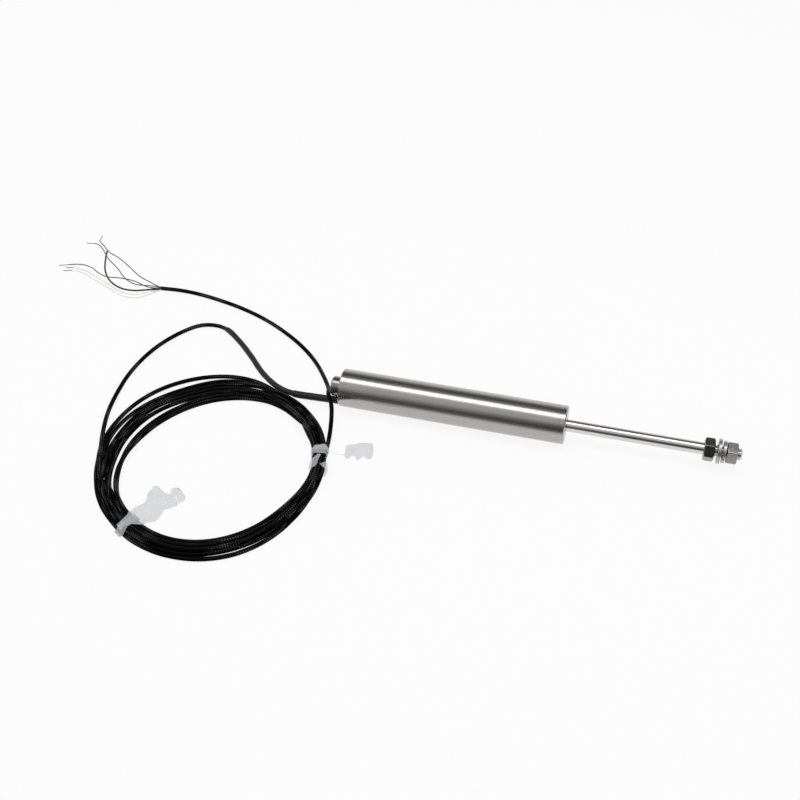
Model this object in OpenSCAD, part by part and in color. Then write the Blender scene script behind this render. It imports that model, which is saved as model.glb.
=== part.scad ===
// Displacement sensor of the moving-core transformer kind: a round steel body,
// a push rod with clamping nuts, and a thin cable that leaves the rear face and
// lies in a tied coil beside the body. Lengths are in millimetres. X runs along
// the body towards the rod, Z is up, and the origin is on the axis at mid-body.

/* [Body] */
// Outside diameter of the body
body_dia = 19; // [17:0.5:24]
// Length of the body between its two end faces
body_len = 113; // [104:1:140]
// Wall of the body tube
tube_wall = 0.8; // [0.6:0.1:1.2]
// Thickness of the end cap rims that close the tube
cap_rim = 3.4; // [2.6:0.2:5]
// Depth of the spigots that go into the tube
cap_spigot = 5; // [4:0.5:7]
// Chamfer on the outer edge of both end faces
cap_chamfer = 0.5; // [0.2:0.1:0.8]
// Diameter of the round boss on the rear face
boss_dia = 10; // [9.6:0.1:10.6]
// Length of the boss
boss_len = 5.2; // [4:0.2:8]
// Chamfer on the end of the boss
boss_chamfer = 0.8; // [0.3:0.1:1.2]
// Wall left at the end of the boss, behind the core's bore
boss_wall = 1.2; // [0.8:0.1:2]
// Width of the relief groove where the boss meets the rear face
boss_groove_w = 0.8; // [0.4:0.1:1.2]
// Depth of that relief groove
boss_groove_d = 0.4; // [0.2:0.1:0.6]

/* [Push rod] */
// Diameter of the push rod and its threaded end
rod_dia = 6; // [5:0.2:6.6]
// Length of plain rod in front of the body
rod_out = 65.6; // [58:0.2:75]
// Length of the threaded end, from the back of the inner nut
thread_len = 17.8; // [16.8:0.2:24]
// Chamfer on the tip of the thread
tip_chamfer = 0.6; // [0.3:0.1:0.8]
// Diameter of the stud that carries the core
stud_dia = 4; // [3.4:0.1:4.2]
// Radial gap between the core and its bore
core_gap = 0.3; // [0.2:0.05:0.6]
// Length of the core
core_len = 40; // [34:1:42]
// Gap between the core's front and the bush behind it when the rod is as drawn
core_front_gap = 3.5; // [3.4:0.1:6]
// Length of the guide bush behind the core
guide_len = 5.8; // [4:0.1:7]
// Diameter of the collar that keeps the guide bush on the stud
collar_dia = 6.4; // [5.6:0.1:6.8]
// Length of that collar
collar_len = 2.4; // [1.6:0.1:3]

/* [Nuts and washers] */
// Width across the flats of both nuts
nut_flats = 10; // [9:0.1:10.4]
// Height of both nuts
nut_h = 5; // [4.2:0.1:5.2]
// Turn of the inner nut about the rod
inner_nut_turn = 0; // [0:1:59]
// Turn of the outer nut about the rod
outer_nut_turn = 18; // [0:1:59]
// Gap between the inner nut and the flat washer
washer_gap = 1.4; // [1.3:0.1:2.4]
// Outside diameter of the flat washer
flat_washer_dia = 12; // [11:0.1:13]
// Thickness of the flat washer
flat_washer_t = 1.6; // [1.2:0.1:1.8]
// Gap between the two washers
washer_space = 0.7; // [0.4:0.1:1]
// Outside diameter of the spring washer
spring_washer_dia = 10.8; // [10:0.1:11.8]
// Thickness of the spring washer
spring_washer_t = 1.6; // [1.2:0.1:1.8]
// Width of the slit in the spring washer
spring_slit = 0.8; // [0.5:0.1:1.2]
// Gap between the spring washer and the outer nut
nut_space = 0.3; // [0.3:0.1:0.5]

/* [Coil former and windings] */
// Diameter of the bore that the core travels in
bore_dia = 7.6; // [7.6:0.1:7.8]
// Wall of the coil former's tube
former_wall = 0.9; // [0.7:0.1:1.1]
// Thickness of the coil former's flanges
flange_t = 1.5; // [1:0.1:2]
// Thickness of the magnetic shield
shield_wall = 0.5; // [0.3:0.1:0.6]
// Height left free between the windings and the shield
winding_gap = 0.6; // [0.3:0.1:1]
// Length of the primary winding
primary_len = 30; // [24:1:36]
// Thickness of the terminal board
board_t = 1.6; // [1:0.1:2]
// Free space behind the terminal board
board_space = 2.5; // [1.5:0.1:4]

/* [Bearing and fits] */
// Outside diameter of the front bearing bush
bush_dia = 10; // [9:0.1:12]
// Depth of the bush below the front face
bush_recess = 0.4; // [0.2:0.1:0.8]
// Radial clearance of the rod in the front bearing bush
rod_clear = 0.03; // [0.02:0.01:0.08]
// Radial clearance of the guide bush in the core's bore
guide_clear = 0.04; // [0.02:0.01:0.08]
// Radial clearance of the stud in the guide bush
stud_clear = 0.03; // [0.02:0.01:0.08]
// Play of the guide bush between the core and the collar
guide_play = 0.1; // [0.08:0.01:0.2]
// Radial clearance of the outer nut on the thread
nut_clear = 0.03; // [0.02:0.01:0.08]
// Radial clearance of the flat washer on the thread
flat_washer_clear = 0.2; // [0.15:0.01:0.3]
// Radial clearance of the spring washer on the thread
spring_washer_clear = 0.15; // [0.1:0.01:0.25]
// Radial clearance of the cable in the rear cap
cable_clear = 0.05; // [0.03:0.01:0.1]

/* [Cable] */
// Diameter of the cable
cable_dia = 2.2; // [1.8:0.1:2.2]
// Gap between the boss and the short sleeve beside it
exit_gap = 0.05; // [0.02:0.01:0.2]
// Angle of the way out from straight down, towards the coil's side
exit_angle = 41; // [36:1:46]
// Outside diameter of the long shrink sleeve
sleeve_dia = 3; // [2.6:0.1:3]
// Outside diameter of the short shrink sleeve at the body
relief_dia = 3.7; // [3.3:0.1:3.7]
// Outside diameter of the rubber grommet
grommet_dia = 3.4; // [3:0.1:3.6]
// Diameter of the bared conductors
wire_dia = 0.6; // [0.4:0.05:0.7]
// Diameter of the twisted screen
screen_dia = 1; // [0.8:0.05:1.1]

/* [Cable ties] */
// Width of the front tie's band
tie_w = 4; // [3:0.2:6]
// Width of the side tie's band
tie_side_w = 6.2; // [4:0.2:7]
// Thickness of the tie bands
tie_t = 0.4; // [0.3:0.05:0.4]

/* [Output] */
// Which sub-part to draw

/* [Hidden] */
$fn = 64;
body_r = body_dia / 2;
tube_r = body_r - tube_wall;
x_front = body_len / 2;
x_rear = -body_len / 2;
x_boss = x_rear - boss_len;
x_tube_front = x_front - cap_rim;
x_tube_rear = x_rear + cap_rim;
x_bush = x_tube_front - cap_spigot;
x_spigot_rear = x_tube_rear + cap_spigot;
x_board = x_spigot_rear + board_space;
x_former = x_board + board_t;
former_len = x_bush - x_former;
former_r = bore_dia / 2 + former_wall;
flange_r = tube_r - shield_wall;
winding_r = flange_r - winding_gap;
secondary_len = (former_len - 4 * flange_t - primary_len) / 2;
x_second_rear = x_former + flange_t;
x_primary = x_second_rear + secondary_len + flange_t;
x_second_front = x_primary + primary_len + flange_t;
rod_r = rod_dia / 2;
core_r = bore_dia / 2 - core_gap;
x_core = x_bush - core_front_gap;
x_core_rear = x_core - core_len;
x_guide = x_core_rear - guide_play - guide_len;
x_collar = x_guide - guide_play - collar_len;
bore_end = x_boss + boss_wall;
x_inner_nut = x_front + rod_out;
x_tip = x_inner_nut + thread_len;
x_flat_washer = x_inner_nut + nut_h + washer_gap;
x_spring_washer = x_flat_washer + flat_washer_t + washer_space;
x_outer_nut = x_spring_washer + spring_washer_t + nut_space;
floor_z = -body_r;
cable_r = cable_dia / 2;
exit_radius = min(boss_dia / 2 + relief_dia / 2 + exit_gap, tube_r - cable_r - 0.4);
boss_r = min(boss_dia / 2, exit_radius - relief_dia / 2 - exit_gap);
grommet_r = min(grommet_dia / 2, body_r - exit_radius - 0.6);
exit_y = -exit_radius * sin(exit_angle);
exit_z = -exit_radius * cos(exit_angle);
low = cable_r + 0.1;
sides = 8;

// Way of the cable from the terminal board to the coil: X from the rear face, Z from the surface
lead_route = concat(
    [[x_board, exit_y, exit_z], [x_rear, exit_y, exit_z], [x_rear - 3, exit_y, exit_z],
        [x_rear - 13.5, -4.2, (2 * exit_z + floor_z + 2) / 3]],
    lay([[-25.5, -2.6, relief_dia / 2 + 0.15], [-35.4, 1, sleeve_dia / 2 + 0.1],
        [-46.1, 9.3, sleeve_dia / 2 + 0.1], [-56.5, 20.8, sleeve_dia / 2 + 0.1],
        [-66.7, 31.1, sleeve_dia / 2 + 0.1], [-77.1, 39.4, sleeve_dia / 2 + 0.1],
        [-86.5, 41.4, low], [-95.5, 36.8, low], [-105.7, 21.4, low], [-111.5, 3.1, low],
        [-113.2, -17, low], [-111, -37, low + 0.6], [-105.5, -56, low + 2.4],
        [-99.5, -72, low + 3]]));
relief_end = 4;
sleeve_end = 9;

// Way of the cable from the coil past the rear of the body to its bared end
tail_route = concat(
    lay([[4, -54, low + 2], [3.4, -39.6, low + 2], [1.4, -26.8, low + 1.6], [-1.3, -14.6, low + 3.2]]),
    [[x_boss + 1.5, -8.5, exit_z + 2.7], [x_boss - 1.25, -3.86, exit_z + 2.84],
        [x_boss - 3.95, 4.6, (exit_z + floor_z) / 2 + 1.82]],
    lay([[-19.2, 20.8, low + 0.6], [-30.5, 33.4, low], [-44.5, 44.2, low], [-60.2, 53.3, low],
        [-75.4, 59.5, low], [-89.5, 63.4, low], [-103.5, 66.1, low], [-115.5, 66.8, low],
        [-126, 66, low]]));

// Ways of the bared conductors, from the end of the jacket
screen_route = lay([
    [-126, 66, low], [-133.5, 63.2, low - 0.4], [-141.5, 60.8, 0.6], [-149.5, 61.4, 0.6],
    [-157.5, 66, 0.6], [-164.5, 74.6, 0.6], [-169.5, 86, 0.6], [-172, 94, 0.6]]);
red_route = lay([
    [-126, 66.4, low + 0.7], [-133.5, 65.6, low + 0.8], [-141.5, 65.2, low + 0.6],
    [-149.5, 69, low + 0.6], [-157.5, 76.8, low + 0.6], [-167, 84.6, low + 0.8],
    [-175, 93.6, low + 0.8], [-180.5, 97.4, low + 0.4], [-186.5, 97, low]]);
blue_route = lay([
    [-126, 66.7, low - 0.5], [-133.5, 70, low - 0.6], [-143.5, 74.6, low - 0.4],
    [-153.5, 82.2, low - 0.4], [-161.5, 87.4, low + 0.2], [-168.5, 89.6, low + 1.8],
    [-174.5, 95, low + 2], [-179, 99.4, low + 1.4], [-180, 105.4, low + 0.6]]);
green_route = lay([
    [-126, 65.4, low + 0.6], [-133.5, 63.8, low + 1.2], [-142.5, 66.2, low + 2],
    [-151.5, 66.8, low + 2], [-159.5, 66.6, low + 1.6], [-166.5, 70, low + 0.8],
    [-173.5, 75, low], [-181.5, 76.6, low - 0.4], [-192.5, 72.8, low - 0.6]]);
yellow_route = lay([
    [-126, 65.2, low - 0.4], [-132, 58.6, low - 0.6], [-138, 54.6, low - 0.7],
    [-146.5, 55.2, low - 0.7], [-155.5, 59.6, low - 0.7], [-165.5, 64.4, low - 0.7],
    [-173.5, 68.6, low - 0.7], [-181, 70.6, low - 0.7], [-188, 68.7, low - 0.7]]);
white_route = lay([
    [-126, 65.7, low - 0.75], [-132.5, 61.4, low - 0.7], [-139.5, 57.6, low - 0.7],
    [-147.5, 58.2, low - 0.7], [-156.5, 62.4, low - 0.7], [-165.5, 67, low - 0.7],
    [-173.5, 71.2, low - 0.7], [-181, 73, low - 0.7], [-188, 72.2, low - 0.7]]);

// Outer shape of the coil: angle and radius about the coil's middle
coil_mid = [x_rear - 48.5, -58];
coil_low = floor_z + tie_t;
coil_inner = [[0, 48.6], [30, 48.6], [60, 48.4], [90, 45.4], [120, 40.6], [150, 38], [180, 39.2],
    [210, 43.6], [240, 48.6], [270, 52.2], [300, 52.4], [330, 48.4], [360, 48.6]];
coil_outer = [[0, 55.2], [30, 55.4], [60, 56.6], [75, 57.4], [81, 58.2], [90, 61.6], [105, 62.9],
    [120, 63.5], [135, 62.5], [150, 60.4], [180, 56.8], [210, 55.8], [240, 59.2], [270, 62.8],
    [285, 64.4], [300, 64.8], [315, 61.6], [330, 57.8], [345, 56], [360, 55.2]];
coil_high = [[0, 7.4], [30, 6.6], [60, 5.8], [90, 3.2], [120, 2.6], [150, 2.6], [180, 4.8],
    [210, 5], [240, 5.6], [270, 5.4], [300, 5.4], [330, 6.4], [360, 7.4]];
coil_step = 10;

// Place of the two ties on the coil, as angles
tie_front_angle = 247;
tie_side_angle = 17;

function lay(pts) = [for (p = pts) [x_rear + p[0], p[1], floor_z + p[2]]];
function unit(v) = v / norm(v);
function mid(p0, p1, p2, p3, t) = 0.5 * (2 * p1 + (p2 - p0) * t
    + (2 * p0 - 5 * p1 + 4 * p2 - p3) * t * t + (3 * p1 - p0 - 3 * p2 + p3) * t * t * t);
function at(pts, i) = pts[max(0, min(len(pts) - 1, i))];
function way(pts, n) = [
    for (i = [0:len(pts) - 2]) for (k = [0:n - 1])
        mid(at(pts, i - 1), pts[i], pts[i + 1], at(pts, i + 2), k / n),
    pts[len(pts) - 1]];
function heading(w, i) = unit(at(w, i + 1) - at(w, i - 1));
function ring(p, d, r) = let (s = unit(cross([0, 0, 1], d)), u = cross(d, s))
    [for (j = [0:sides - 1]) p + r * (cos(360 * j / sides) * s + sin(360 * j / sides) * u)];
function rings(w, r, i0, i1) = [for (i = [i0:i1]) each ring(w[i], heading(w, i), r)];
function skin(n, base, flip) = [
    for (i = [0:n - 2]) for (j = [0:sides - 1])
        let (a = base + i * sides + j, b = base + i * sides + (j + 1) % sides)
            each flip ? [[a, a + sides, b], [b, a + sides, b + sides]]
                : [[a, b, a + sides], [b, b + sides, a + sides]]];

module cord(w, r) {
    n = len(w);
    polyhedron(
        points = rings(w, r, 0, n - 1),
        faces = concat(
            skin(n, 0, false),
            [[for (j = [0:sides - 1]) sides - 1 - j]],
            [[for (j = [0:sides - 1]) (n - 1) * sides + j]]));
}

module hose(w, r_out, r_in, i0, i1) {
    n = i1 - i0 + 1;
    m = n * sides;
    polyhedron(
        points = concat(rings(w, r_out, i0, i1), rings(w, r_in, i0, i1)),
        faces = concat(
            skin(n, 0, false),
            skin(n, m, true),
            [for (j = [0:sides - 1]) let (k = (j + 1) % sides) [k, j, m + j, m + k]],
            [for (j = [0:sides - 1]) let (k = (j + 1) % sides, e = m - sides)
                [e + j, e + k, m + e + k, m + e + j]]));
}

module bar(x0, x1, r) {
    translate([x0, 0, 0])
        rotate([0, 90, 0])
            cylinder(h = x1 - x0, r = r);
}

module taper(x0, x1, r0, r1) {
    translate([x0, 0, 0])
        rotate([0, 90, 0])
            cylinder(h = x1 - x0, r1 = r0, r2 = r1);
}

module sleeve(x0, x1, r_out, r_in) {
    difference() {
        bar(x0, x1, r_out);
        bar(x0 - 1, x1 + 1, r_in);
    }
}

module body_tube() {
    color([0.78, 0.78, 0.77])
        sleeve(x_tube_rear, x_tube_front, body_r, tube_r);
}

module front_end_cap() {
    color([0.74, 0.74, 0.73])
        difference() {
            union() {
                bar(x_bush, x_tube_front, tube_r);
                bar(x_tube_front, x_front - cap_chamfer, body_r);
                taper(x_front - cap_chamfer, x_front, body_r, body_r - cap_chamfer);
            }
            bar(x_bush - 1, x_front - bush_recess, bush_dia / 2);
            bar(x_bush, x_front + 1, rod_r + 0.6);
        }
}

module rear_end_cap() {
    color([0.74, 0.74, 0.73])
        difference() {
            union() {
                bar(x_tube_rear, x_spigot_rear, tube_r);
                bar(x_rear + cap_chamfer, x_tube_rear, body_r);
                taper(x_rear, x_rear + cap_chamfer, body_r - cap_chamfer, body_r);
                bar(x_boss + boss_chamfer, x_rear - boss_groove_w, boss_r);
                bar(x_rear - boss_groove_w, x_rear, boss_r - boss_groove_d);
                taper(x_boss, x_boss + boss_chamfer, boss_r - boss_chamfer, boss_r);
            }
            bar(bore_end, x_spigot_rear + 1, bore_dia / 2);
            translate([0, exit_y, exit_z]) {
                bar(x_rear - 1, x_tube_rear, grommet_r);
                bar(x_rear, x_spigot_rear + 1, cable_r + cable_clear);
            }
        }
}

module front_bearing_bush() {
    color([0.62, 0.45, 0.24])
        sleeve(x_bush, x_front - bush_recess, bush_dia / 2, rod_r + rod_clear);
}

module coil_former() {
    color([0.86, 0.83, 0.74])
        difference() {
            union() {
                bar(x_former, x_bush, former_r);
                bar(x_former, x_second_rear, flange_r);
                bar(x_primary - flange_t, x_primary, flange_r);
                bar(x_second_front - flange_t, x_second_front, flange_r);
                bar(x_bush - flange_t, x_bush, flange_r);
            }
            bar(x_former - 1, x_bush + 1, bore_dia / 2);
        }
}

module primary_winding() {
    color([0.72, 0.36, 0.16])
        sleeve(x_primary, x_primary + primary_len, winding_r, former_r);
}

module secondary_winding_front() {
    color([0.76, 0.42, 0.2])
        sleeve(x_second_front, x_second_front + secondary_len, winding_r, former_r);
}

module secondary_winding_rear() {
    color([0.76, 0.42, 0.2])
        sleeve(x_second_rear, x_second_rear + secondary_len, winding_r, former_r);
}

module magnetic_shield() {
    color([0.5, 0.5, 0.52])
        sleeve(x_spigot_rear, x_bush, tube_r, flange_r);
}

module terminal_board() {
    color([0.12, 0.4, 0.22])
        sleeve(x_board, x_former, flange_r, former_r);
}

module push_rod() {
    color([0.8, 0.8, 0.8]) {
        bar(x_core, x_tip - tip_chamfer, rod_r);
        taper(x_tip - tip_chamfer, x_tip, rod_r, rod_r - tip_chamfer);
        bar(x_collar, x_core, stud_dia / 2);
    }
}

module core() {
    color([0.42, 0.42, 0.44])
        sleeve(x_core_rear, x_core, core_r, stud_dia / 2);
}

module core_collar() {
    color([0.7, 0.7, 0.7])
        sleeve(x_collar, x_collar + collar_len, collar_dia / 2, stud_dia / 2);
}

module guide_bush() {
    color([0.9, 0.9, 0.88])
        sleeve(x_guide, x_guide + guide_len, bore_dia / 2 - guide_clear, stud_dia / 2 + stud_clear);
}

module nut(x0, turn, bore_r) {
    corner_r = nut_flats / 2 / cos(30);
    rim_r = nut_flats / 2 * 0.97;
    crown_r = corner_r * 1.04;
    slope = (crown_r - rim_r) * tan(30);
    translate([x0, 0, 0])
        rotate([turn, 0, 0])
            rotate([0, 90, 0])
                difference() {
                    intersection() {
                        rotate([0, 0, 30])
                            cylinder(h = nut_h, r = corner_r, $fn = 6);
                        rotate_extrude()
                            polygon([[0, 0], [rim_r, 0], [crown_r, slope],
                                [crown_r, nut_h - slope], [rim_r, nut_h], [0, nut_h]]);
                    }
                    translate([0, 0, -1])
                        cylinder(h = nut_h + 2, r = bore_r);
                }
}

module inner_nut() {
    color([0.55, 0.55, 0.55])
        nut(x_inner_nut, inner_nut_turn, rod_r);
}

module flat_washer() {
    color([0.76, 0.76, 0.75])
        sleeve(x_flat_washer, x_flat_washer + flat_washer_t, flat_washer_dia / 2,
            rod_r + flat_washer_clear);
}

module spring_washer() {
    color([0.66, 0.66, 0.66])
        difference() {
            sleeve(x_spring_washer, x_spring_washer + spring_washer_t, spring_washer_dia / 2,
                rod_r + spring_washer_clear);
            translate([x_spring_washer - 1, -spring_washer_dia, -spring_slit / 2])
                cube([spring_washer_t + 2, spring_washer_dia, spring_slit]);
        }
}

module outer_nut() {
    color([0.6, 0.6, 0.6])
        nut(x_outer_nut, outer_nut_turn, rod_r + nut_clear);
}

module cable_grommet() {
    color([0.08, 0.08, 0.08])
        translate([0, exit_y, exit_z])
            sleeve(x_rear, x_tube_rear, grommet_r, cable_r);
}

module relief_sleeve() {
    color([0.07, 0.07, 0.07])
        hose(way(lead_route, 3), relief_dia / 2, sleeve_dia / 2, 3, 3 * relief_end);
}

module long_sleeve() {
    color([0.1, 0.1, 0.1])
        hose(way(lead_route, 3), sleeve_dia / 2, cable_r, 3, 3 * sleeve_end);
}

module cable_lead() {
    color([0.05, 0.05, 0.05])
        cord(way(lead_route, 3), cable_r);
}

module cable_tail() {
    color([0.05, 0.05, 0.05])
        cord(way(tail_route, 3), cable_r);
}

function coil_ring(a) = let (
    r0 = lookup(a, coil_inner), r1 = lookup(a, coil_outer), h = lookup(a, coil_high), c = 1.1)
    [for (q = [[r0, c], [r0, h - c], [r0 + c, h], [r1 - c, h], [r1, h - c], [r1, c],
        [r1 - c, 0], [r0 + c, 0]])
        [coil_mid[0] + q[0] * cos(a), coil_mid[1] + q[0] * sin(a), coil_low + q[1]]];

module cable_coil() {
    n = 360 / coil_step;
    color([0.06, 0.06, 0.06])
        polyhedron(
            points = [for (i = [0:n - 1]) each coil_ring(i * coil_step)],
            faces = [for (i = [0:n - 1]) for (j = [0:7])
                let (a = i * 8 + j, b = i * 8 + (j + 1) % 8, d = (i + 1) % n * 8)
                    each [[a, d + j, b], [b, d + j, d + (j + 1) % 8]]]);
}

module tie_band(angle, width) {
    r0 = lookup(angle, coil_inner) - tie_t / 2;
    r1 = lookup(angle, coil_outer) + tie_t / 2;
    h = lookup(angle, coil_high);
    translate([coil_mid[0], coil_mid[1], floor_z])
        rotate([0, 0, angle])
            difference() {
                translate([r0 - tie_t, -width / 2, 0])
                    cube([r1 - r0 + 2 * tie_t, width, h + 2 * tie_t]);
                translate([r0, -width, tie_t])
                    cube([r1 - r0, 2 * width, h]);
            }
}

module strip(from, angle, long, wide) {
    translate(from)
        rotate([0, 0, angle])
            linear_extrude(height = tie_t)
                union() {
                    translate([0, -wide / 2])
                        square([long - wide / 2, wide]);
                    translate([long - wide / 2, 0])
                        circle(d = wide);
                }
}

module tie_front() {
    r = lookup(tie_front_angle, coil_inner) - tie_t / 2;
    from = [coil_mid[0] + r * cos(tie_front_angle), coil_mid[1] + r * sin(tie_front_angle),
        floor_z + 1.6];
    color([0.88, 0.88, 0.88]) {
        tie_band(tie_front_angle, tie_w);
        strip(from, 84, 22, 6);
        strip(from, 47, 24, 5);
    }
}

module tie_side() {
    r = lookup(tie_side_angle, coil_outer) + tie_t / 2;
    from = [coil_mid[0] + r * cos(tie_side_angle), coil_mid[1] + r * sin(tie_side_angle),
        floor_z + 1.6];
    color([0.82, 0.84, 0.87]) {
        tie_band(tie_side_angle, tie_side_w);
        tie_band(tie_side_angle - 12, tie_w * 0.8);
        strip(from, 28, 23, 6);
        translate([coil_mid[0], coil_mid[1], floor_z])
            rotate([0, 0, tie_side_angle - 6])
                translate([lookup(tie_side_angle, coil_outer) + tie_t / 2, -5, 1])
                    cube([tie_t, 10, 3]);
    }
}

module screen_wire() {
    color([0.2, 0.2, 0.2])
        cord(way(screen_route, 2), screen_dia / 2);
}

module wire_red() {
    color([0.65, 0.12, 0.12])
        cord(way(red_route, 2), wire_dia / 2);
}

module wire_blue() {
    color([0.12, 0.25, 0.55])
        cord(way(blue_route, 2), wire_dia / 2);
}

module wire_green() {
    color([0.1, 0.4, 0.2])
        cord(way(green_route, 2), wire_dia / 2);
}

module wire_yellow() {
    color([0.85, 0.75, 0.3])
        cord(way(yellow_route, 2), wire_dia / 2);
}

module wire_white() {
    color([0.9, 0.9, 0.88])
        cord(way(white_route, 2), wire_dia / 2);
}

body_tube();
front_end_cap();
rear_end_cap();
front_bearing_bush();
coil_former();
primary_winding();
secondary_winding_front();
secondary_winding_rear();
magnetic_shield();
terminal_board();
push_rod();
core();
core_collar();
guide_bush();
inner_nut();
flat_washer();
spring_washer();
outer_nut();
cable_grommet();
relief_sleeve();
long_sleeve();
cable_lead();
cable_coil();
cable_tail();
tie_front();
tie_side();
screen_wire();
wire_red();
wire_blue();
wire_green();
wire_yellow();
wire_white();
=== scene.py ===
"""Displacement sensor with a ground steel body, a push rod and a thin tied cable.

Lengths are worked out in millimetres and put into the meshes in metres. X runs along the
body towards the rod, Z is up, and the surface that everything lies on is at FLOOR.
"""

import bpy
import numpy as np
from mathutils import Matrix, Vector


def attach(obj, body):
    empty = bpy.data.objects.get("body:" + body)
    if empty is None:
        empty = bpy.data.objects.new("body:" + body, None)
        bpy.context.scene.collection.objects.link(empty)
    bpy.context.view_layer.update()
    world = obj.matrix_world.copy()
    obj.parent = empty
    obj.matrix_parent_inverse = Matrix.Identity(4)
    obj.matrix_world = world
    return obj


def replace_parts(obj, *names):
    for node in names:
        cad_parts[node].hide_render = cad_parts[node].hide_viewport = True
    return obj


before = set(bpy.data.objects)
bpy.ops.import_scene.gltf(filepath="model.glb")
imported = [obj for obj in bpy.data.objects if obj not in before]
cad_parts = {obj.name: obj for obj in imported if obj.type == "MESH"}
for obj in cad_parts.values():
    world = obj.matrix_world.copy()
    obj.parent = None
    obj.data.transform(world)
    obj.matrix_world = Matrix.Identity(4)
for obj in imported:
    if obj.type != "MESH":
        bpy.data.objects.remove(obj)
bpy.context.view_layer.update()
MM = 0.001

# Sizes of the pieces, as in the part's source
FLOOR = -9.5
BODY_R = 9.5
TUBE_R = 8.7
X_FRONT = 56.5
X_REAR = -56.5
X_TUBE = 53.1
X_SPIGOT = 48.1
CHAMFER = 0.5
BUSH_R = 5.0
BUSH_BORE = 3.03
BUSH_RECESS = 0.4
MOUTH_R = 3.6
BOSS_R = 5.0
BOSS_END = -61.7
BOSS_CHAMFER = 0.8
GROOVE_LENGTH = 0.8
GROOVE_DEPTH = 0.4
BORE_R = 3.8
BORE_END = -61.1
VENT_R = 0.6
ROD_R = 3.0
STUD_R = 2.0
X_CORE = 44.6
X_COLLAR = -3.8
X_INNER_NUT = 122.1
X_TIP = 139.9
NUT_H = 5.0
FLATS_R = 5.0
X_FLAT = 128.5
X_SPRING = 130.8
WASHER_T = 1.6
WASHER_R = 6.0
WASHER_BORE = 3.2
X_OUTER_NUT = 132.7
OUTER_NUT_TURN = 18.0
CABLE_R = 1.1
SLEEVE_R = 1.5
RELIEF_R = 1.85
GROMMET_R = 1.7
GROMMET_PROUD = 0.25
EXIT = np.array([X_REAR, -4.527, -5.207])
LOW = FLOOR + CABLE_R + 0.1


def linked(name, data):
    """A new object in the scene."""
    made = bpy.data.objects.new(name, data)
    bpy.context.scene.collection.objects.link(made)
    return made


def aimed(name, data, place, way):
    """A camera or lamp at place, facing along way."""
    made = linked(name, data)
    made.location = place
    made.rotation_mode = "QUATERNION"
    made.rotation_quaternion = way.to_track_quat("-Z", "Y")
    return made


# Camera, at the photograph's viewing angle

def look(azimuth, elevation, distance, centre, lens):
    """A camera on the back vector (sin a cos e, -cos a cos e, sin e) from centre, looking at it."""
    a, e = np.radians((azimuth, elevation))
    back = Vector((np.sin(a) * np.cos(e), -np.cos(a) * np.cos(e), np.sin(e)))
    data = bpy.data.cameras.new("camera")
    data.lens, data.sensor_width, data.clip_start = lens, 36.0, 0.01
    bpy.context.scene.camera = aimed("camera", data, Vector(centre) + back * distance, -back)


look(azimuth=14.562, elevation=41.0, distance=0.623, centre=(-0.0267, 0.0, -0.002055), lens=56.31)


# Shader values and finishes

class Value:
    """One output socket. Arithmetic on it adds Math nodes to its own tree."""

    def __init__(self, tree, socket):
        self.tree, self.socket = tree, socket

    def math(self, operation, *terms):
        return self.tree.node("ShaderNodeMath", {"operation": operation}, dict(enumerate(terms)))

    def __add__(self, other):
        return self.math("ADD", self, other)

    __radd__ = __add__

    def __sub__(self, other):
        return self.math("SUBTRACT", self, other)

    def __rsub__(self, other):
        return self.math("SUBTRACT", other, self)

    def __mul__(self, other):
        return self.math("MULTIPLY", self, other)

    def __truediv__(self, other):
        return self.math("DIVIDE", self, other)

    def sine(self):
        return self.math("SINE", self)

    def above(self, low, high):
        """0 below low, 1 above high, and a smooth step between them."""
        return self.tree.node("ShaderNodeMapRange", {"interpolation_type": "SMOOTHSTEP"},
                              {"Value": self, "From Min": low, "From Max": high})

    def part(self, name):
        """Another output of the same node."""
        return Value(self.tree, self.socket.node.outputs[name])


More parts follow.
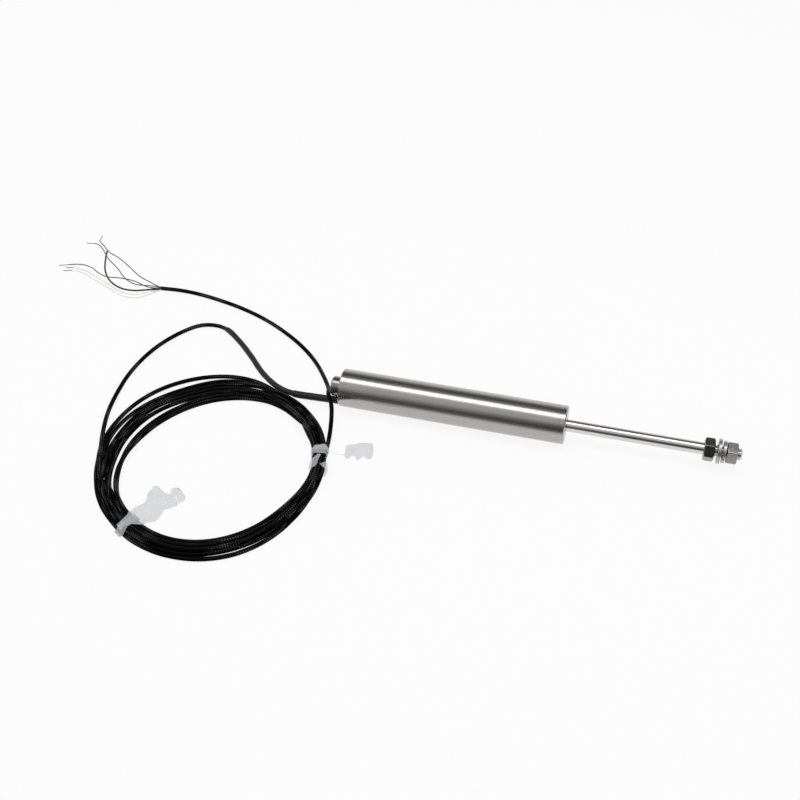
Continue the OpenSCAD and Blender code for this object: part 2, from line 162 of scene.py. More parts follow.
class Tree:
    """The node tree of a material or the world.

    node() makes any node: its settings first, then its sockets' values or links.
    """

    def __init__(self, owner):
        owner.use_nodes = True
        self.tree = owner.node_tree
        self.tree.nodes.clear()

    def node(self, kind, settings=None, sockets=None, out=0):
        made = self.tree.nodes.new(kind)
        for key, value in (settings or {}).items():
            if key == "stops":
                ramp = made.color_ramp
                while len(ramp.elements) < len(value):
                    ramp.elements.new(1.0)
                for element, (place, level) in zip(ramp.elements, value):
                    element.position = place
                    element.color = (level, level, level, 1.0)
            else:
                setattr(made, key, value)
        for key, value in (sockets or {}).items():
            if isinstance(value, Value):
                self.tree.links.new(value.socket, made.inputs[key])
            else:
                made.inputs[key].default_value = value
        return Value(self, made.outputs[out]) if made.outputs else None

    def place(self, scale):
        """Object coordinates times a scale, one for all axes or for each, in cells per metre."""
        where = self.node("ShaderNodeTexCoord", out="Object")
        return self.node("ShaderNodeVectorMath", {"operation": "MULTIPLY"},
                         {0: where, 1: tuple(np.broadcast_to(scale, 3))})

    def axis(self, name):
        """One of the object coordinates, in metres."""
        return self.node("ShaderNodeSeparateXYZ", {}, {0: self.place(1.0)}, out=name)

    def along(self):
        """The UV map of a swept piece: millimetres along it, and turns round it."""
        where = self.node("ShaderNodeUVMap", {"uv_map": "sweep"})
        split = self.node("ShaderNodeSeparateXYZ", {}, {0: where})
        return split, split.part("Y")

    def noise(self, vector, detail, rough=0.5):
        return self.node("ShaderNodeTexNoise", {},
                         {"Vector": vector, "Scale": 1.0, "Detail": detail, "Roughness": rough})

    def grain(self, scale, detail, rough=0.5):
        return self.noise(self.place(scale), detail, rough)

    def mix(self, factor, first, second):
        """A colour between two colours."""
        return self.node("ShaderNodeMix", {"data_type": "RGBA"},
                         {0: factor, 6: first, 7: second}, out=2)

    def tones(self, factor, colour, low, high):
        """A colour times a number between low and high."""
        return self.mix(factor, shade(colour, low), shade(colour, high))

    def bump(self, height, strength, depth):
        return self.node("ShaderNodeBump", {},
                         {"Height": height, "Strength": strength, "Distance": depth})


def rgb(r, g, b):
    return (r, g, b, 1.0)


def shade(colour, factor):
    return tuple(min(1.0, c * factor) for c in colour[:3]) + (1.0,)


def finish(name, recipe):
    """A material whose recipe takes its tree and gives the shader's sockets."""
    material = bpy.data.materials.new(name)
    tree = Tree(material)
    surface = tree.node("ShaderNodeBsdfPrincipled", {}, recipe(tree))
    tree.node("ShaderNodeOutputMaterial", {}, {"Surface": surface})
    return material


def ground_steel(colour, rough, line_gap, line_depth, painted_shade_before=None):
    """Turned or ground metal: fine rings round the X axis, faint cloudiness and handling marks.

    The rings' gap and depth are in metres. With the last argument, in metres, the base colour is
    painted darker where x is less than that, as painted shade.
    """
    def recipe(tree):
        rings = tree.grain((1 / line_gap, 40.0, 40.0), 3.0, 0.6)
        cloud = tree.grain((90.0, 160.0, 160.0), 3.0)
        marks = tree.grain((120.0, 5200.0, 5200.0), 2.0).above(0.6, 0.8)
        tone = tree.tones(cloud * 0.5 + rings * 0.5, colour, 0.92, 1.08)
        # Painted shade: where x is below the given value the base colour drops to two thirds of the
        # colour.
        if painted_shade_before is not None:
            edge = 0.0002
            unshaded = tree.axis("X").above(painted_shade_before - edge, painted_shade_before + edge)
            tone = tree.mix(unshaded, shade(colour, 0.66), tone)
        return {"Base Color": tone, "Metallic": 1.0,
                "Roughness": rough + (rings - 0.5) * 0.1 + (cloud - 0.5) * 0.04 + marks * 0.04,
                "Normal": tree.bump(rings + marks * 0.25, 0.3, line_depth)}
    return recipe


def plated(colour, rough):
    """Bright plated or bare hardware: small dents, brushed marks and a slightly uneven gloss."""
    def recipe(tree):
        grain = tree.grain((2600.0, 900.0, 900.0), 3.0)
        cloud = tree.grain(420.0, 4.0)
        tone = tree.tones(cloud, colour, 0.8, 1.12)
        return {"Base Color": tone, "Metallic": 1.0,
                "Roughness": rough + (grain - 0.5) * 0.12 + (cloud - 0.5) * 0.14,
                "Normal": tree.bump(grain * 0.4 + cloud, 0.25, 0.00003)}
    return recipe


def moulded(colour, rough, cell=0.0004):
    """Moulded plastic or laminate: slow changes of tone and a fine grain, its cell in metres."""
    def recipe(tree):
        grain = tree.grain(1 / cell, 3.0)
        cloud = tree.grain(150.0, 2.0)
        tone = tree.tones(cloud, colour, 0.88, 1.1)
        return {"Base Color": tone, "Roughness": rough + (grain - 0.5) * 0.2,
                "Normal": tree.bump(grain, 0.3, 0.00002)}
    return recipe


def wound_wire(colour):
    """Enamelled wire wound round the X axis in turns that lie pitch apart, in metres."""
    pitch = 0.00016

    def recipe(tree):
        turn = (tree.axis("X") * (2 * np.pi / pitch)).sine() * 0.5 + 0.5
        cloud = tree.grain(300.0, 3.0)
        tone = tree.tones(turn * 0.6 + cloud * 0.4, colour, 0.55, 1.15)
        return {"Base Color": tone, "Metallic": 0.85, "Roughness": 0.3 + cloud * 0.15,
                "Normal": tree.bump(turn, 0.6, 0.00005)}
    return recipe


def jacket(colour, rough, pitch, ridges, depth, glint_tone, ior):
    """Cable jacket over a braid: two sets of fine ridges that cross, round and along the sweep.

    Lighter flecks painted in the base colour stand for glints, as painted highlights: rows of them
    lie along the strand where some of the ridges cross, in some stretches only.
    """
    def recipe(tree):
        long, turn = tree.along()
        one = (long * (2 * np.pi / pitch) + turn * (2 * np.pi * ridges)).sine()
        two = (long * (2 * np.pi / pitch) - turn * (2 * np.pi * ridges)).sine()
        braid = one * two * 0.5 + 0.5
        cloud = tree.grain(260.0, 3.0)
        dust = tree.grain(3500.0, 2.0)
        # Painted glints: lighter base colour in short dashes along the strand on braid crests, in
        # some stretches only.
        dash = tree.node("ShaderNodeCombineXYZ", {}, {0: long * 0.1, 1: turn * 8.0, 2: cloud * 0.4})
        glint_patches = tree.grain(45.0, 1.0).above(0.33, 0.55)
        painted_glint = tree.noise(dash, 1.0).above(0.5, 0.6) * braid.above(0.5, 0.85) * glint_patches
        tone = tree.tones(braid * 0.5 + cloud * 0.5, colour, 0.5, 1.5)
        return {"Base Color": tree.mix(painted_glint, tone, shade(colour, glint_tone)), "IOR": ior,
                "Roughness": rough + (cloud - 0.5) * 0.2 + (dust - 0.5) * 0.16 - braid * 0.08,
                "Normal": tree.bump(braid * 0.8 + dust * 0.3, 0.7, depth)}
    return recipe


def shrunk(colour, rough):
    """Shrink sleeve: smooth and satin, with slow waves where it has drawn in on the cable."""
    def recipe(tree):
        long, _ = tree.along()
        cloud = tree.grain(420.0, 3.0)
        dust = tree.grain(4200.0, 2.0)
        ripple = (long * 1.9 + cloud * 5.0).sine() * 0.5 + 0.5
        tone = tree.tones(cloud, colour, 0.75, 1.3)
        return {"Base Color": tone, "IOR": 1.35,
                "Roughness": rough + (cloud - 0.5) * 0.16 + (dust - 0.5) * 0.1,
                "Normal": tree.bump(ripple * 0.5 + dust * 0.25, 0.25, 0.00006)}
    return recipe


def film(colour):
    """Thin translucent tie film: cloudy, with crinkles, and see-through at one even rate."""
    def recipe(tree):
        crinkle = tree.grain(380.0, 4.0, 0.6)
        cloud = tree.grain(140.0, 2.0)
        tone = tree.tones(cloud, colour, 0.92, 1.05)
        return {"Base Color": tone, "Roughness": 0.32 + crinkle * 0.2, "Alpha": 0.38,
                "Normal": tree.bump(crinkle, 0.35, 0.0002)}
    return recipe


def insulation(colour, bare_from):
    """Conductor insulation as far as bare_from millimetres, and tinned strands after that."""
    def recipe(tree):
        long, turn = tree.along()
        bare = long.above(bare_from, bare_from + 0.2)
        lay = (long * 9.0 + turn * (6 * np.pi)).sine() * 0.5 + 0.5
        cloud = tree.grain(500.0, 2.0)
        cover = tree.tones(cloud, colour, 0.8, 1.2)
        return {"Base Color": tree.mix(bare, cover, rgb(0.2, 0.19, 0.18)), "Metallic": bare,
                "Roughness": 0.36 + (cloud - 0.5) * 0.16 - bare * 0.06,
                "Normal": tree.bump(bare * lay, 0.8, 0.00008)}
    return recipe


CAP_GREY = rgb(0.445, 0.432, 0.412)
RECIPES = {
    "body_steel": ground_steel(rgb(0.445, 0.43, 0.41), rough=0.22, line_gap=0.00016,
                               line_depth=0.00001),
    "cap_steel": ground_steel(CAP_GREY, rough=0.2, line_gap=0.00022, line_depth=0.000012),
    # The rear cap's boss, behind the rear face, gets painted shade: a darker base colour.
    "rear_steel": ground_steel(CAP_GREY, rough=0.2, line_gap=0.00022, line_depth=0.000012,
                               painted_shade_before=-0.0566),
    "rod_steel": ground_steel(rgb(0.7, 0.685, 0.665), rough=0.17, line_gap=0.0003,
                              line_depth=0.000008),
    "nut_steel": plated(rgb(0.3, 0.295, 0.29), rough=0.15),
    "washer_steel": plated(rgb(0.5, 0.495, 0.485), rough=0.36),
    "bronze": ground_steel(rgb(0.55, 0.38, 0.19), rough=0.3, line_gap=0.0002, line_depth=0.00001),
    "copper": wound_wire(rgb(0.72, 0.33, 0.14)),
    "magnetic_alloy": ground_steel(rgb(0.4, 0.4, 0.42), rough=0.42, line_gap=0.0003,
                                   line_depth=0.00001),
    "former_plastic": moulded(rgb(0.8, 0.75, 0.62), rough=0.5),
    "guide_plastic": moulded(rgb(0.86, 0.86, 0.83), rough=0.42),
    "board": moulded(rgb(0.06, 0.24, 0.11), rough=0.45, cell=0.0006),
    "grommet_rubber": moulded(rgb(0.02, 0.02, 0.02), rough=0.55),
    # The tone of each jacket's painted glints, lighter flecks that stand for highlights, is a
    # multiple of its colour.
    "cable_jacket": jacket(rgb(0.0012, 0.0012, 0.00125), rough=0.34, pitch=2.4, ridges=4,
                           depth=0.00016, glint_tone=92.0, ior=1.12),
    "sleeve_rubber": shrunk(rgb(0.022, 0.022, 0.023), rough=0.42),
    "relief_rubber": shrunk(rgb(0.016, 0.016, 0.017), rough=0.4),
    "tie_film": film(rgb(0.655, 0.672, 0.69)),
    "screen": jacket(rgb(0.045, 0.042, 0.038), rough=0.45, pitch=1.6, ridges=3,
                     depth=0.0002, glint_tone=3.0, ior=1.4),
}
FINISH = {name: finish(name, recipe) for name, recipe in RECIPES.items()}


# Meshes worked out as whole arrays

def piece(name, points, faces, material, body, uv=None, loops=()):
    """A mesh object from points in millimetres, its quads and any longer face loops, smooth shaded.

    uv gives a pair for each quad corner, and the loops after them get zeros.
    """
    mesh = bpy.data.meshes.new(name)
    quads = np.asarray(faces, np.int32)
    loops = [np.asarray(loop, np.int32) for loop in loops]
    corners = np.concatenate([quads.ravel()] + loops)
    sizes = np.concatenate([np.full(len(quads), 4), [len(loop) for loop in loops]]).astype(np.int32)
    mesh.vertices.add(len(points))
    mesh.vertices.foreach_set("co", (np.asarray(points) * MM).astype(np.float32).ravel())
    mesh.loops.add(len(corners))
    mesh.loops.foreach_set("vertex_index", corners)
    mesh.polygons.add(len(sizes))
    mesh.polygons.foreach_set("loop_start", (np.cumsum(sizes) - sizes).astype(np.int32))
    mesh.polygons.foreach_set("use_smooth", np.ones(len(sizes), bool))
    layer = mesh.uv_layers.new(name="sweep")
    flat = np.zeros((len(corners), 2), np.float32)
    if uv is not None:
        flat[:quads.size] = uv
    layer.data.foreach_set("uv", flat.ravel())
    mesh.update(calc_edges=True)
    mesh.validate()
    mesh.materials.append(material)
    made = linked(name, mesh)
    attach(made, body)
    return made


def grid_quads(rows, columns, wrap_rows):
    """The corners of the quads of a grid whose columns wrap, and each corner's row and column."""
    last = rows if wrap_rows else rows - 1
    i, j = np.meshgrid(np.arange(last), np.arange(columns), indexing="ij")
    row = np.stack([i, i, i + 1, i + 1], -1).reshape(-1, 4)
    column = np.stack([j, j + 1, j + 1, j], -1).reshape(-1, 4)
    return (row % rows) * columns + column % columns, row, column


def end_loops(rows, columns):
    """The faces that close a grid's first and last rows."""
    ring = np.arange(columns)
    return [ring[::-1], (rows - 1) * columns + ring]


def lay_grid(name, grid, material, body, wrap_rows=False, flip=False, lengths=None):
    """A surface through a grid of points whose columns wrap. End faces close rows that don't.

    lengths gives the UV's first number for each row, and the second goes from 0 to 1 round a row.
    """
    rows, columns = grid.shape[:2]
    quads, row, column = grid_quads(rows, columns, wrap_rows)
    loops = [] if wrap_rows else end_loops(rows, columns)
    uv = None
    if lengths is not None:
        longer = np.append(lengths, lengths[-1])
        uv = np.stack([longer[row], column / columns], -1).reshape(-1, 2)
    if flip:
        quads, loops = quads[:, ::-1], [loop[::-1] for loop in loops]
    return piece(name, grid.reshape(-1, 3), quads, material, body, uv, loops)


def full_turn(count):
    """Angles an even step apart, once round."""
    return np.linspace(0, 2 * np.pi, count, endpoint=False)


def round_axis(x, r, a):
    """The grid of points (x, r cos a, r sin a) about the X axis."""
    return np.stack(np.broadcast_arrays(x, r * np.cos(a), r * np.sin(a)), -1)


def eased(profile, radius, closed):
    """A polyline in which each corner is a small arc of five points, with one more on each side.

    The arc is the quadratic curve (1-t)^2 a + 2t(1-t) p + t^2 b between points on the two edges.
    """
    p = np.asarray(profile, float)
    back, ahead = np.roll(p, 1, 0) - p, np.roll(p, -1, 0) - p
    long_a, long_b = (np.linalg.norm(edge, axis=1)[:, None] for edge in (back, ahead))
    reach = np.minimum(radius, 0.35 * np.minimum(long_a, long_b))
    way_a, way_b = back / (long_a + 1e-9), ahead / (long_b + 1e-9)
    a, b = p + way_a * reach, p + way_b * reach
    t = np.linspace(0, 1, 5)[None, :, None]
    arc = (1 - t) ** 2 * a[:, None] + 2 * t * (1 - t) * p[:, None] + t ** 2 * b[:, None]
    arc = np.concatenate([(a + way_a * reach * 0.15)[:, None], arc,
                          (b + way_b * reach * 0.15)[:, None]], 1)
    if closed:
        return arc.reshape(-1, 2)
    return np.vstack([p[:1], arc[1:-1].reshape(-1, 2), p[-1:]])


def turned(name, profile, material, body, radius, sides):
    """A closed profile of points (x, r) turned about the X axis, with its corners eased."""
    line = eased(profile, radius, True)
    area = np.sum(line[:, 0] * np.roll(line[:, 1], -1) - np.roll(line[:, 0], -1) * line[:, 1])
    grid = round_axis(line[:, :1], line[:, 1:], full_turn(sides))
    return lay_grid(name, grid, material, body, wrap_rows=True, flip=area > 0)


def curve_through(points, per):
    """The Catmull-Rom curve through points, with per samples to each stretch."""
    p = np.asarray(points, float)
    q = np.vstack([p[:1], p, p[-1:]])
    t = (np.arange(per) / per)[None, :, None]
    p0, p1, p2, p3 = (q[i:len(q) - 3 + i, None, :] for i in range(4))
    c = 0.5 * (2 * p1 + (p2 - p0) * t + (2 * p0 - 5 * p1 + 4 * p2 - p3) * t ** 2
               + (3 * p1 - p0 - 3 * p2 + p3) * t ** 3)
    return np.vstack([c.reshape(-1, p.shape[1]), p[-1:]])


def run_of(path):
    """The distance along a path of each of its points."""
    return np.append(0, np.cumsum(np.linalg.norm(np.diff(path, axis=0), axis=1)))


def sampled(path, count):
    """The same path as count points an even distance apart, and the distance along it of each."""
    s = run_of(path)
    even = np.linspace(0, s[-1], count)
    return np.column_stack([np.interp(even, s, path[:, k]) for k in range(path.shape[1])]), even


def length_of(path):
    return float(run_of(path)[-1])


def spaced(path, gap):
    """The same path with its points an even gap apart, and the distance along it of each."""
    return sampled(path, max(2, int(round(length_of(path) / gap)) + 1))


def swept(path, radius, sides):
    """Rings of points round a path: p + r (cos a side + sin a up).

    side is level and square to the path, and up is square to both.
    """
    way = np.gradient(path, axis=0)
    way /= np.linalg.norm(way, axis=1)[:, None]
    side = np.cross((0.0, 0.0, 1.0), way)
    side /= np.linalg.norm(side, axis=1)[:, None]
    up = np.cross(way, side)
    a = full_turn(sides)[None, :, None]
    r = np.broadcast_to(radius, len(path))[:, None, None]
    return path[:, None] + r * (np.cos(a) * side[:, None] + np.sin(a) * up[:, None])


def strand(name, path, radius, sides, material):
    """A round cord along a path, closed at both ends, riding on the housing."""
    return lay_grid(name, swept(path, radius, sides), material, "housing",
                    lengths=run_of(path))


# The cable, from the terminal board through its coil to the bared end

COIL_MID = np.array([-105.0, -58.0])
COIL_R = 54.0
# Angle and radius of the coil's inside and outside
COIL_INNER = np.array([
    (0, 49.0), (15, 48.4), (30, 47.8), (45, 47.2), (60, 48.1), (75, 47.6), (90, 45.5), (120, 40.6),
    (135, 38.8), (150, 38.1), (165, 38.2), (180, 38.9), (195, 40.6), (210, 43.6), (225, 46.4),
    (240, 49.0), (255, 50.8), (270, 52.2), (285, 52.5), (300, 51.3), (315, 49.1), (330, 48.4),
    (345, 48.7), (360, 49.0)])
COIL_OUTER = np.array([
    (0, 55.2), (30, 55.2), (45, 55.6), (60, 57.8), (72, 58.0), (78, 58.6), (84, 60.4), (90, 62.2),
    (100, 63.3), (110, 63.5), (120, 63.2), (135, 62.3), (150, 60.4), (165, 58.3), (180, 57.0),
    (195, 55.3), (210, 55.6), (225, 57.0), (240, 58.6), (255, 61.4), (270, 63.3), (285, 64.6),
    (300, 64.3), (315, 61.5), (330, 58.1), (345, 55.8), (360, 55.2)])
# Place of each pass between the inside, 0, and the outside, 1, at some angles
PASS_ANGLES = np.array([
    20, 45, 60, 75, 90, 105, 120, 135, 150, 165, 182, 198, 215, 229, 246, 270, 285, 302, 318, 335])
PASSES = np.array([
    (0.05, 0.6, 0.98, 1.02, 1.02, 1.01, 1.0, 1.0, 1.0, 1.0, 1.0, 1.01, 1.02, 1.02, 1.02, 1.02, 1.02,
     1.02, 1.0, 1.0),
    (0.78, 0.54, 0.62, 0.76, 0.82, 0.85, 0.66, 0.69, 0.77, 0.84, 0.86, 0.82, 0.78, 0.7, 0.6, 0.53,
     0.47, 0.42, 0.46, 0.5),
    (0.85, 0.66, 0.35, 0.2, 0.17, 0.17, 0.13, 0.15, 0.14, 0.14, 0.08, 0.03, 0.0, 0.05, 0.04, 0.0,
     -0.02, -0.02, 0.0, 0.06),
    (0.0, 0.12, 0.3, 0.5, 0.5, 0.5, 0.4, 0.48, 0.6, 0.43, 0.53, 0.54, 0.49, 0.36, 0.38, 0.32, 0.28,
     0.26, 0.28, 0.3),
    (0.45, 0.05, 0.0, 0.0, 0.0, 0.0, 0.0, 0.0, 0.0, 0.0, -0.03, -0.03, 0.02, 0.1, 0.15, 0.25, 0.25,
     0.2, 0.2, 0.2),
    (0.9, 0.85, 0.8, 0.75, 0.66, 0.67, 0.53, 0.58, 0.69, 0.64, 0.65, 0.66, 0.72, 0.82, 0.85, 0.83,
     0.71, 0.58, 0.8, 0.82),
    (0.35, 0.0, 0.0, 0.15, 0.33, 0.33, 0.24, 0.33, 0.38, 0.39, 0.41, 0.38, 0.4, 0.5, 0.63, 0.66,
     0.62, 0.55, 0.6, 0.6)])
FIRST_PASS = np.array([(212, 0.82), (246, 0.3), (285, 0.35), (335, 0.35)])
TURNS = len(PASSES)
# Angles in degrees where the winding starts and where it is free of the lead, and, past its last
# whole turn, where it takes up the tail and ends
COIL_FROM, LEAD_UNTIL, TAIL_FROM, COIL_UNTIL = 147, 210, 15, 42
TIE_FRONT_AT = 247.0
TIE_SIDE_AT = 17.0
TIE_LIFT = 0.35

LEAD = np.array([
    (-45.6, EXIT[1], EXIT[2]), (X_REAR, EXIT[1], EXIT[2]), (X_REAR - 3, EXIT[1], EXIT[2]),
    (-70.0, -4.2, -5.971), (-82.0, -2.6, -7.5), (-91.9, 1.0, -7.9), (-102.6, 9.3, -7.9),
    (-113.0, 20.8, -7.9), (-123.2, 31.1, -7.9), (-133.6, 39.4, -7.9), (-143.0, 41.4, LOW),
    (-152.0, 36.8, LOW), (-162.2, 21.4, LOW), (-168.0, 3.1, LOW), (-169.7, -17.0, LOW),
    (-167.5, -37.0, LOW + 0.6), (-162.0, -56.0, LOW + 2.2), (-156.0, -72.0, LOW + 2.1),
    (-149.9, -86.0, LOW + 2.1)])
# Numbers of the route's points where the coil starts and where the two sleeves end
LEAD_MEETS = 14
RELIEF_END = 4
SLEEVE_END = 9
TAIL = np.array([
    (-52.5, -54.0, LOW + 2), (-53.1, -39.6, LOW + 2), (-55.1, -26.8, LOW + 1.6),
    (-57.8, -14.6, LOW + 3.2), (-60.2, -8.5, -2.507), (-62.95, -3.86, -2.367),
    (-65.65, 4.6, -5.533), (-75.7, 20.8, LOW + 0.6), (-87.0, 33.4, LOW), (-101.0, 44.2, LOW),
    (-116.7, 53.3, LOW), (-131.9, 59.5, LOW), (-146.0, 63.4, LOW), (-160.0, 66.1, LOW),
    (-172.0, 66.8, LOW), (-182.5, 66.0, LOW)])
TAIL_LEAVES = 3
ROUTE_STEPS = 12
PIN_STEPS = 20


def round_coil(path):
    """Angle in degrees, radius and height of points about the coil's middle."""
    d = path[:, :2] - COIL_MID
    return np.degrees(np.arctan2(d[:, 1], d[:, 0])) % 360, np.hypot(d[:, 0], d[:, 1]), path[:, 2]


def evened(values, width):
    """The mean of each run of width values, weighted by a raised cosine."""
    weights = np.hanning(width)
    return np.convolve(values, weights / weights.sum(), mode="valid")


def wind_coil(lead, tail, step=3, rounds=900):
    """The turns of the coil as points every step degrees, settled under their own weight.

    Each point has a radius r and a height z. In every round r drifts towards its own place in the
    coil, z sinks, both are evened along the cable, and any two points at one angle that are closer
    than a cable's width are pushed apart along the line between them. The first and last points
    stay on the lead and on the tail, and the cable lies a little higher where a tie goes under it.
    """
    per_turn = 360 // step
    last = 360.0 * (TURNS + 1)
    phi = np.arange(COIL_FROM, last + COIL_UNTIL + step / 2, step)
    count, angle = len(phi), phi % 360
    inner = np.interp(angle, *COIL_INNER.T) + CABLE_R
    outer = np.interp(angle, *COIL_OUTER.T) - CABLE_R
    from_tie = np.minimum(np.abs(angle - TIE_FRONT_AT), np.abs(angle - TIE_SIDE_AT + 6))
    ground = FLOOR + CABLE_R + TIE_LIFT * np.clip(1.6 - from_tie / 12, 0, 1)
    whole = (PASS_ANGLES + 360.0 * np.arange(1, TURNS + 1)[:, None]).ravel()
    key = np.concatenate([FIRST_PASS[:, 0], whole, [last + 4]])
    across = np.interp(phi, key, np.concatenate([FIRST_PASS[:, 1], PASSES.ravel(), [0.7]]))
    across = evened(np.pad(across, 5, mode="edge"), 11)
    sway = evened(np.random.default_rng(4).normal(0, 0.4, count + 24), 25)
    aim = inner + across * (outer - inner) + sway
    held = (phi <= LEAD_UNTIL) | (phi >= last + TAIL_FROM)
    lead_a, lead_r, lead_z = round_coil(lead)
    tail_a, tail_r, tail_z = round_coil(tail)
    tail_a = np.where(tail_a > 180, tail_a - 360, tail_a) + last
    early = phi < last
    pin_r = np.where(early, np.interp(phi, lead_a, lead_r), np.interp(phi, tail_a, tail_r))
    pin_z = np.where(early, np.interp(phi, lead_a, lead_z), np.interp(phi, tail_a, tail_z))
    r = np.where(held, pin_r, aim)
    z = np.where(held, pin_z, FLOOR + CABLE_R + 0.1 + 0.5 * (phi - 195) / 360)
    width = 2 * CABLE_R * 1.01
    for turn in range(rounds):
        left = 1 - turn / rounds
        pull = 0.08 * (max(left, 0.4) if turn < rounds - 90 else 0.1)
        even = 0.16 if turn < rounds - 60 else 0.1
        r += pull * (aim - r)
        z -= 0.05 * left + 0.004
        r[1:-1] += even * (0.5 * (r[:-2] + r[2:]) - r[1:-1])
        z[1:-1] += 1.8 * even * (0.5 * (z[:-2] + z[2:]) - z[1:-1])
        for apart in 2 * list(range(per_turn, count, per_turn)):
            dr, dz = r[apart:] - r[:-apart], z[apart:] - z[:-apart]
            d = np.hypot(dr, dz) + 1e-6
            push = np.clip(width - d, 0, None) * 0.45 / d
            r[:-apart] -= push * dr
            r[apart:] += push * dr
            z[:-apart] -= push * dz
            z[apart:] += push * dz
        z = np.where(held, pin_z, np.maximum(z, ground))
        r = np.where(held, pin_r, np.clip(r, inner, outer))
    a = np.radians(phi)
    return np.column_stack([COIL_MID[0] + r * np.cos(a), COIL_MID[1] + r * np.sin(a), z])


lead_line = curve_through(LEAD, ROUTE_STEPS)
tail_line = curve_through(TAIL, ROUTE_STEPS)
coil_turns = wind_coil(curve_through(LEAD[LEAD_MEETS:], PIN_STEPS),
                       curve_through(TAIL[:TAIL_LEAVES + 1], PIN_STEPS))
cable_line = np.vstack([lead_line[:ROUTE_STEPS * LEAD_MEETS], curve_through(coil_turns, 4)[2:-2],
                        tail_line[ROUTE_STEPS * TAIL_LEAVES + 4:]])
cable_path, _ = spaced(cable_line, 1.6)
# The path that is swept is evened over five points, except at its ends
eased_path = cable_path.copy()
eased_path[2:-2] = sum(cable_path[2 + k:len(cable_path) - 2 + k] * w
                       for k, w in zip((-2, -1, 0, 1, 2), (0.1, 0.22, 0.36, 0.22, 0.1)))
cable = strand("cable", eased_path, CABLE_R, 14, FINISH["cable_jacket"])
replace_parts(cable, "cable_lead", "cable_coil", "cable_tail")


# Shrink sleeves on the lead

def shrink_sleeve(name, until, radius, inside, waves, material):
    """A sleeve drawn in on the lead, from the rear face to route point until.

    Its outside is radius (1 + 0.012 sin(waves s) + 0.008 sin(2.3 waves s + 1)), which falls to the
    inside in a rounded lip at the cut end, and the wall comes back along the inside.
    """
    path, s = spaced(lead_line[ROUTE_STEPS:ROUTE_STEPS * until + 1], 0.7)
    lip = np.clip((s[-1] - s) / 0.9, 0, 1)
    r = radius * (1 + 0.012 * np.sin(s * waves) + 0.008 * np.sin(s * waves * 2.3 + 1))
    r = inside + (r - inside) * np.sqrt(np.clip(1 - (1 - lip) ** 2, 0.12, 1))
    rings = np.concatenate([swept(path, r, 20), swept(path, inside, 20)[::-1]])
    return lay_grid(name, rings, material, "housing", wrap_rows=True,
                    lengths=np.concatenate([s, s[::-1]]))


long_sleeve = shrink_sleeve("long_sleeve_skin", SLEEVE_END, SLEEVE_R, inside=CABLE_R, waves=0.8,
                            material=FINISH["sleeve_rubber"])
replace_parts(long_sleeve, "long_sleeve")
relief_sleeve = shrink_sleeve("relief_sleeve_skin", RELIEF_END, RELIEF_R, inside=SLEEVE_R,
                              waves=1.3, material=FINISH["relief_rubber"])
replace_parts(relief_sleeve, "relief_sleeve")


# Ties on the coil

def bundle_at(angle):
    """Radii and heights of the cable where it passes each of some angles of the coil.

    The coil's points are read along each pass, and a pass that doesn't reach the angle repeats
    the first one.
    """
    a, r, z = round_coil(coil_turns)
    whole = np.degrees(np.unwrap(np.radians(a)))
    turns = np.arange(TURNS + 2) * 360.0 + angle[:, None]
    inside = (turns >= whole[0]) & (turns <= whole[-1])
    first = np.argmax(inside, axis=1)
    turns = np.where(inside, turns, np.take_along_axis(turns, first[:, None], 1))
    return np.interp(turns, whole, r), np.interp(turns, whole, z)


def tie_skin(middle, width, thick, slant=0.0, loose=0.0, gap=0.05):
    """A band round the coil: the outline of all its strands, as a string drawn tight round them.

    In each direction n of the section it passes the strand that reaches furthest, at
    centre + (cable radius + gap) n, where the gap grows by loose at the sides. The outside and the
    inside are thick apart, and slant turns the band's top forwards and its bottom back, in degrees
    of the coil.
    """
    sides, rows = 56, 9
    way = full_turn(sides)
    out = np.stack([np.cos(way), np.sin(way)], -1)
    at = middle + np.degrees(np.linspace(-0.5, 0.5, rows) * width / COIL_R)
    angles = at[:, None] + slant * np.sin(way)[None, :]
    r, z = (value.reshape(rows, sides, -1) for value in bundle_at(angles.ravel()))
    reach = r * out[None, :, None, 0] + z * out[None, :, None, 1]
    best = np.argmax(reach, -1)[..., None]
    r, z = (np.take_along_axis(value, best, -1)[..., 0] for value in (r, z))
    a = np.radians(angles)
    sheets = []
    for layer in (thick, 0.0):
        away = CABLE_R + gap + layer + loose * out[None, :, 0] ** 2
        wide = r + away * out[None, :, 0]
        high = np.maximum(z + away * out[None, :, 1], FLOOR + 0.02 - layer * 0.01)
        sheets.append(np.stack([COIL_MID[0] + wide * np.cos(a), COIL_MID[1] + wide * np.sin(a),
                                high], -1))
    return np.concatenate([sheets[0], sheets[1][::-1]])[:, ::-1]


LEAF_THICK = 0.16
LEAF_GAP = 0.3
LEAF_LOWEST = 0.2


